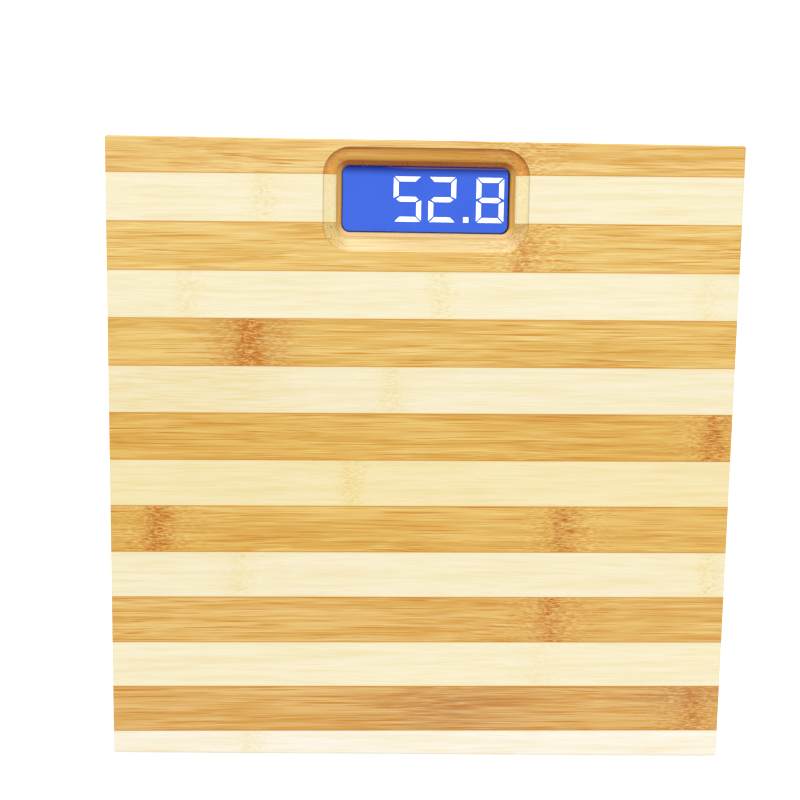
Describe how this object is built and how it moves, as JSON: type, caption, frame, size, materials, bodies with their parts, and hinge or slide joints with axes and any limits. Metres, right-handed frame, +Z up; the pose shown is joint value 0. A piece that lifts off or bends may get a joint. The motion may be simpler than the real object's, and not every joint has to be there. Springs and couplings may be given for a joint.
{
  "type": "digital bathroom scale",
  "caption": "Square bamboo platform of alternating dark and light strips with a recessed backlit display, on low load-cell feet under its corners.",
  "frame": {"origin": "on the floor under the centre of the platform", "axes": "+Z up, +Y towards the edge with the display, +X to the right of a person who reads the display"},
  "size_m": [0.3, 0.3, 0.024],
  "materials": {
    "bamboo_dark": "carbonised bamboo, satin lacquer",
    "bamboo_light": "natural bamboo, satin lacquer",
    "bamboo_core": "carbonised bamboo core, lacquered at the edges",
    "lens": "clear gloss acrylic",
    "foam": "black closed-cell foam",
    "display": "blue backlit liquid crystal display with white digits",
    "backlight": "milky light guide",
    "connector": "pink elastomer strip with carbon layers",
    "circuit": "green solder mask",
    "epoxy": "black potting resin",
    "housing": "fine textured black ABS",
    "button": "grey ABS",
    "battery": "printed sleeve, plain",
    "spring": "nickel plated",
    "steel": "stamped steel",
    "rubber": "dark grey rubber",
    "cable": "bundle of red, white and black insulated wires",
    "screw": "zinc plated"
  },
  "bodies": {
    "scale_body": {"face_strip_01": "bamboo_dark", "face_strip_02_left": "bamboo_light", "face_strip_02_right": "bamboo_light", "face_strip_03": "bamboo_dark", "face_strip_04": "bamboo_light", "face_strip_05": "bamboo_dark", "face_strip_06": "bamboo_light", "face_strip_07": "bamboo_dark", "face_strip_08": "bamboo_light", "face_strip_09": "bamboo_dark", "face_strip_10": "bamboo_light", "face_strip_11": "bamboo_dark", "face_strip_12": "bamboo_light", "face_strip_13": "bamboo_dark", "face_strip_14": "bamboo_light", "core_board": "bamboo_core", "window_lens": "lens", "lens_gasket": "foam", "lcd_panel": "display", "lcd_connector": "connector", "backlight_panel": "backlight", "circuit_board": "circuit", "controller_chip": "epoxy", "unit_switch": "steel", "electronics_housing": "housing", "battery_cell_1": "battery", "battery_cell_2": "battery", "battery_bridge_spring": "spring", "battery_negative_spring": "spring", "battery_positive_plate": "spring", "housing_screw_1": "screw", "housing_screw_2": "screw", "housing_screw_3": "screw", "housing_screw_4": "screw", "foot_holder_display_left": "housing", "load_cell_display_left": "steel", "holder_screw_display_left": "screw", "sensor_cable_display_left": "cable", "foot_holder_display_right": "housing", "load_cell_display_right": "steel", "holder_screw_display_right": "screw", "sensor_cable_display_right": "cable", "foot_holder_heel_left": "housing", "load_cell_heel_left": "steel", "holder_screw_heel_left": "screw", "sensor_cable_heel_left": "cable", "foot_holder_heel_right": "housing", "load_cell_heel_right": "steel", "holder_screw_heel_right": "screw", "sensor_cable_heel_right": "cable"},
    "foot_display_left": {"foot_cup_display_left": "housing", "foot_pad_display_left": "rubber"},
    "foot_display_right": {"foot_cup_display_right": "housing", "foot_pad_display_right": "rubber"},
    "foot_heel_left": {"foot_cup_heel_left": "housing", "foot_pad_heel_left": "rubber"},
    "foot_heel_right": {"foot_cup_heel_right": "housing", "foot_pad_heel_right": "rubber"},
    "battery_door": {"battery_cover": "housing"},
    "unit_key": {"unit_button": "button"}
  },
  "joints": [
    {"name": "foot_display_left_travel", "type": "slide", "parent": "scale_body", "child": "foot_display_left", "axis": [0, 0, 1], "range_m": [-0.0008, 0]},
    {"name": "foot_display_right_travel", "type": "slide", "parent": "scale_body", "child": "foot_display_right", "axis": [0, 0, 1], "range_m": [-0.0008, 0]},
    {"name": "foot_heel_left_travel", "type": "slide", "parent": "scale_body", "child": "foot_heel_left", "axis": [0, 0, 1], "range_m": [-0.0008, 0]},
    {"name": "foot_heel_right_travel", "type": "slide", "parent": "scale_body", "child": "foot_heel_right", "axis": [0, 0, 1], "range_m": [-0.0008, 0]},
    {"name": "battery_door_slide", "type": "slide", "parent": "scale_body", "child": "battery_door", "axis": [0, -1, 0], "range_m": [0, 0.03]},
    {"name": "unit_key_press", "type": "slide", "parent": "scale_body", "child": "unit_key", "axis": [0, 0, 1], "range_m": [0, 0.0005], "stiffness_N_per_m": 500, "springref_m": -0.001}
  ]
}
